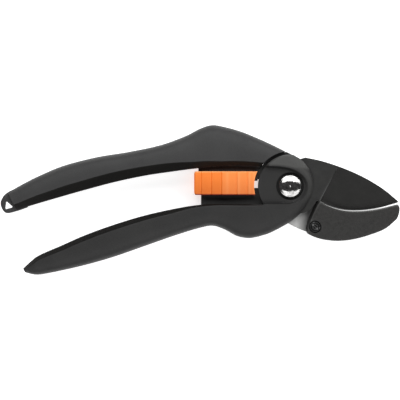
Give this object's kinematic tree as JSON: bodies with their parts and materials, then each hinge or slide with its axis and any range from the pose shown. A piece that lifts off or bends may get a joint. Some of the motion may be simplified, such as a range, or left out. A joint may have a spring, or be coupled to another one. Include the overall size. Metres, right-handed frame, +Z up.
{
  "type": "pruning shears",
  "caption": "Anvil pruning shears: ribbed-lock hand pruner with a curved blade closing on a wide anvil, two moulded grips and a hanging loop.",
  "frame": {"origin": "middle of the closed tool's footprint, on the surface it lies on", "axes": "+X along the tool towards the jaw tips, +Y across it from the lower handle to the upper one, +Z up along the pivot's axis, out of the bolt's head"},
  "size_m": [0.2072, 0.0778, 0.019],
  "materials": {
    "grip_plastic": "fine spark-eroded texture, satin matte",
    "lock_plastic": "fine satin, moulded ribs",
    "coated_steel": "thin low-friction coating, satin",
    "carrier_steel": "stamped and tumbled",
    "anvil_plastic": "slightly grainy, filled nylon",
    "bolt_steel": "polished",
    "screw_steel": "zinc plated",
    "spring_steel": "drawn wire and strip",
    "bush_brass": "turned"
  },
  "bodies": {
    "upper": {"upper_handle": "grip_plastic", "anvil_carrier": "carrier_steel", "anvil_shoe": "anvil_plastic", "anvil_screw": "screw_steel", "anvil_nut": "screw_steel"},
    "lower": {"lower_handle": "grip_plastic", "blade": "coated_steel", "pivot_bolt": "bolt_steel", "pivot_head_washer": "screw_steel", "pivot_bushing": "bush_brass", "inner_thrust_washer": "bush_brass", "rear_thrust_washer": "bush_brass", "pivot_lock_washer": "screw_steel", "pivot_nut": "screw_steel", "return_spring": "spring_steel"},
    "lock": {"lock_slider": "lock_plastic", "lock_slider_back": "lock_plastic", "lock_screws": "screw_steel", "lock_detent_spring": "spring_steel"}
  },
  "joints": [
    {"name": "pivot_hinge", "type": "hinge", "parent": "upper", "child": "lower", "pos_m": [0.04669, 0.00709, 0.0095], "axis": [0, 0, 1], "range_deg": [0, 26], "deforming": ["return_spring"]},
    {"name": "lock_slide", "type": "slide", "parent": "upper", "child": "lock", "axis": [1, 0, 0], "range_m": [-0.006, 0.0018], "deforming": ["lock_detent_spring"]}
  ]
}
